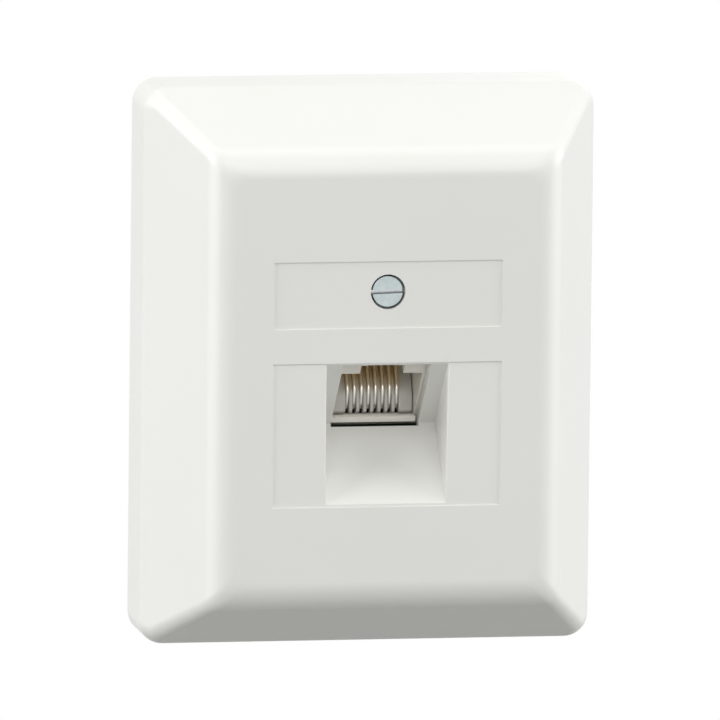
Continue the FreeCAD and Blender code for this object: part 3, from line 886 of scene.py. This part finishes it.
def screw_blank():
    """The head, neck and core, turned as one."""
    tip = screw_high.y
    rings = [
        (0, screw_low.y), (head_radius - head_round, screw_low.y),
        (head_radius - head_round * 0.3, screw_low.y + head_round * 0.3),
        (head_radius, screw_low.y + head_round), (head_radius, head_back),
        (neck_radius, head_back), (neck_radius, thread_start),
        (core_radius, thread_start + thread_run_in), (core_radius, tip - tip_rise),
        (core_radius - tip_chamfer, tip), (0, tip),
    ]
    return turned("slotted_screw", rings, [(0, screw_z)], 96)


def screw_thread():
    """A ridge carried round the core in a helix."""
    bm = bmesh.new()
    half = thread_pitch * 0.42
    sunk = core_radius - 0.05 * mm
    crest = 0.02 * mm
    start_y = thread_start + thread_run_in
    ridge = [(sunk, -half), (shank_radius, -crest), (shank_radius, crest), (sunk, half)]
    corners = [bm.verts.new((r, start_y + y, screw_z)) for r, y in ridge]
    edges = [bm.edges.new(pair) for pair in zip(corners, corners[1:] + corners[:1])]
    turns = int((screw_high.y - thread_end_gap - half - start_y) / thread_pitch)
    last = bmesh.ops.spin(
        bm, geom=corners + edges, cent=(0, 0, screw_z), axis=(0, 1, 0),
        dvec=(0, thread_pitch / thread_steps, 0), angle=turns * math.radians(360),
        steps=turns * thread_steps,
    )["geom_last"]
    for ends in (edges, [g for g in last if isinstance(g, bmesh.types.BMEdge)]):
        bmesh.ops.contextual_create(bm, geom=ends)
    return finished(bm, "screw_thread")


def saw_slot(piece):
    """Cuts the slot right across the head, at the angle where the screw stopped."""
    slot = block(
        (-head_radius - overcut, screw_low.y - overcut, -slot_width / 2),
        (head_radius + overcut, screw_low.y + slot_depth, slot_width / 2),
    )
    slot.data.transform(Matrix.Translation((0, 0, screw_z)) @ Matrix.Rotation(-slot_lean, 4, "Y"))
    combine(piece, "DIFFERENCE", [slot])


def join_meshes(name, pieces):
    """One mesh from several, which are removed."""
    bm = bmesh.new()
    for piece in pieces:
        bm.from_mesh(piece.data)
        bpy.data.objects.remove(piece)
    return finished(bm, name)


blank = screw_blank()
saw_slot(blank)
cover_screw = join_meshes("cover_screw_turned", [blank, screw_thread()])
smooth_by_angle(cover_screw, 20)
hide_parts("cover_screw")
dress(cover_screw, zinc_plate, "screw")

# Painted shade: a dull steel, darker than the plated face, gives the head's flank and the slot's
# walls a dark outline where the hole and the slot lie in shade. Painted highlight: a bright steel
# makes the slot's floor a light line.
steel_painted_shade, tree, place = start_material("steel_painted_shade")
finish_material(tree, {
    "Base Color": tints(tree, place, "5E6769", "485052", size=0.5),
    "Metallic": 1.0,
    "Roughness": 0.5,
    "Normal": grain(tree, place, size=0.1, detail=2.0, distance=4e-6),
})
steel_painted_highlight, tree, place = start_material("slot_floor_painted_highlight")
finish_material(tree, {
    "Base Color": tints(tree, place, "E3E7E7", "D3D9DA", size=0.5),
    "Metallic": 1.0,
    "Roughness": 0.2,
    "Normal": grain(tree, place, size=0.1, detail=2.0, distance=1e-6),
})
# The painted shade and painted highlight steels go on the screw as its second and third materials.
for material in (steel_painted_shade, steel_painted_highlight):
    cover_screw.data.materials.append(material)
face_margin = 0.02 * mm
head_height = head_back - screw_low.y
# The slot's floor takes the painted highlight. The head's flank, its round and the slot's walls
# take the painted shade.
for face in cover_screw.data.polygons:
    depth = face.center.y - screw_low.y
    on_flank = face_margin < depth < head_height - face_margin
    if near(depth, slot_depth):
        face.material_index = 2
    elif on_flank and abs(face.normal.y) < 0.99:
        face.material_index = 1

# Retaining washer. A soft polyamide ring pressed over the shank behind the cover's seat, so the
# screw stays with the cover when that is taken off.
washer_low, washer_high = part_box("screw_washer")
washer_radius = (washer_high.x - washer_low.x) / 2
washer_round = 0.15 * mm
washer = turned(
    "retaining_washer",
    [
        (shank_radius, washer_low.y), (washer_radius - washer_round, washer_low.y),
        (washer_radius, washer_low.y + washer_round), (washer_radius, washer_high.y - washer_round),
        (washer_radius - washer_round, washer_high.y), (shank_radius, washer_high.y),
    ],
    [(0, screw_z)], 48,
)
smooth_by_angle(washer, 50)
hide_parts("screw_washer")

# Natural polyamide: a waxy cream white without gloss.
natural_polyamide = moulded_plastic(
    "natural_polyamide", "D9D8CC", "D2D1C4", roughness=0.5, ior=1.53,
    grain_size=0.3, grain_height=4e-6,
)
dress(washer, natural_polyamide, "screw")

# Studio. White soft boxes round the object, a white room and a pale floor. The boxes stand above,
# in front, at both sides and behind, each a rectangle of cloth with lamps in it. Each row holds
# where the box stands, its two sides in metres and its power in watts.
def area_lamp(name, location, target, size_x, size_y, power):
    data = bpy.data.lights.new(name, "AREA")
    data.shape = "RECTANGLE"
    data.size, data.size_y = size_x, size_y
    data.energy = power
    lamp = bpy.data.objects.new(name, data)
    lamp.location = location
    lamp.rotation_euler = (Vector(target) - Vector(location)).to_track_quat("-Z", "Y").to_euler()
    bpy.context.scene.collection.objects.link(lamp)


centre = Vector((0, -cover_depth / 2, 0))
lamps = {
    "top_box": ((0, 0.05, 1.20), 2.2, 0.9, 6.6),
    "upper_box": ((0, -1.10, 1.05), 1.6, 0.7, 5.4),
    "front_box": ((0, -1.55, 0.60), 1.6, 0.6, 5.8),
    "left_box": ((-1.35, -0.20, 0.35), 1.1, 1.1, 14.4),
    "right_box": ((1.35, -0.20, 0.35), 1.1, 1.1, 12.3),
    "near_right_box": ((1.15, -1.00, 0.30), 0.9, 1.0, 1.8),
    "rear_box": ((-0.90, 0.50, 0.385), 0.20, 0.20, 0.3),
    "back_box": ((0.62, 1.40, 0.40), 0.5, 0.5, 5.0),
}
for name, (location, size_x, size_y, power) in lamps.items():
    area_lamp(name, location, centre, size_x, size_y, power)


def seen_share(tree, mirrored_share):
    """1 where the eye looks straight or through glass, mirrored_share in a reflection, else 0."""
    path = add_node(tree, "ShaderNodeLightPath")
    seen = add_node(
        tree, "ShaderNodeMath",
        {0: path.outputs["Is Camera Ray"], 1: path.outputs["Is Transmission Ray"]},
        operation="MAXIMUM",
    )
    mirrored = add_node(
        tree, "ShaderNodeMath",
        {0: path.outputs["Is Glossy Ray"], 1: mirrored_share}, operation="MULTIPLY",
    )
    share = add_node(
        tree, "ShaderNodeMath", {0: seen.outputs[0], 1: mirrored.outputs[0]}, operation="MAXIMUM"
    )
    return share.outputs[0]


# The room is white to the eye and nearly so in reflections, and it fills the shadows a little.
room_light = 0.25
room_mirrored = 0.85
world = bpy.data.worlds.new("studio")
bpy.context.scene.world = world
world.use_nodes = True
tree = world.node_tree
tree.nodes.clear()
strength = add_node(
    tree, "ShaderNodeMath", {0: seen_share(tree, room_mirrored), 1: room_light},
    operation="MAXIMUM",
)
room = add_node(
    tree, "ShaderNodeBackground", {"Color": srgb("FFFFFF"), "Strength": strength.outputs[0]}
)
add_node(tree, "ShaderNodeOutputWorld", {"Surface": room.outputs[0]})

# The floor is painted board, pale to the eye. It is darker in reflections and throws less light
# back up than it shows, so that the undersides stay in soft shade.
floor_z = -0.6
floor_mirrored = 0.2
floor_bm = bmesh.new()
bmesh.ops.create_grid(
    floor_bm, x_segments=1, y_segments=1, size=1.0, matrix=Matrix.Translation((0, 0, floor_z))
)
floor = finished(floor_bm, "floor")
floor_material, tree, place = start_material("pale_studio_floor")
floor_colour = add_node(
    tree, "ShaderNodeMix",
    {"Factor": seen_share(tree, floor_mirrored), "A": srgb("999997"), "B": srgb("F4F4F2")},
    data_type="RGBA",
)
finish_material(tree, {"Base Color": floor_colour.outputs["Result"], "Roughness": 0.8})
floor.data.materials.append(floor_material)

# Camera. It stands three metres away with a long lens, a little left of the middle and a little
# above it, and is rolled slightly. Its aim is just beside the middle of the box.
azimuth, elevation, roll = math.radians(-10.156), math.radians(8.607), math.radians(0.629)
aim_left, aim_up = 1.534 * mm, 0.866 * mm
distance = 3.0
seen_width = 102.2 * mm
towards = Vector((
    math.sin(azimuth) * math.cos(elevation),
    -math.cos(azimuth) * math.cos(elevation),
    math.sin(elevation),
))
level_right = Vector((math.cos(azimuth), math.sin(azimuth), 0))
level_up = towards.cross(level_right)
right = level_right * math.cos(roll) + level_up * math.sin(roll)
up = level_up * math.cos(roll) - level_right * math.sin(roll)
aim = centre - right * aim_left + up * aim_up
camera_data = bpy.data.cameras.new("camera")
camera_data.sensor_width = 36.0
camera_data.lens = camera_data.sensor_width * distance / seen_width
camera_data.clip_start, camera_data.clip_end = 0.1, 20.0
camera = bpy.data.objects.new("camera", camera_data)
camera.matrix_world = (
    Matrix.Translation(aim + towards * distance)
    @ Matrix((right, up, towards)).transposed().to_4x4()
)
bpy.context.scene.collection.objects.link(camera)
bpy.context.scene.camera = camera
bpy.context.scene.view_settings.view_transform = "Standard"
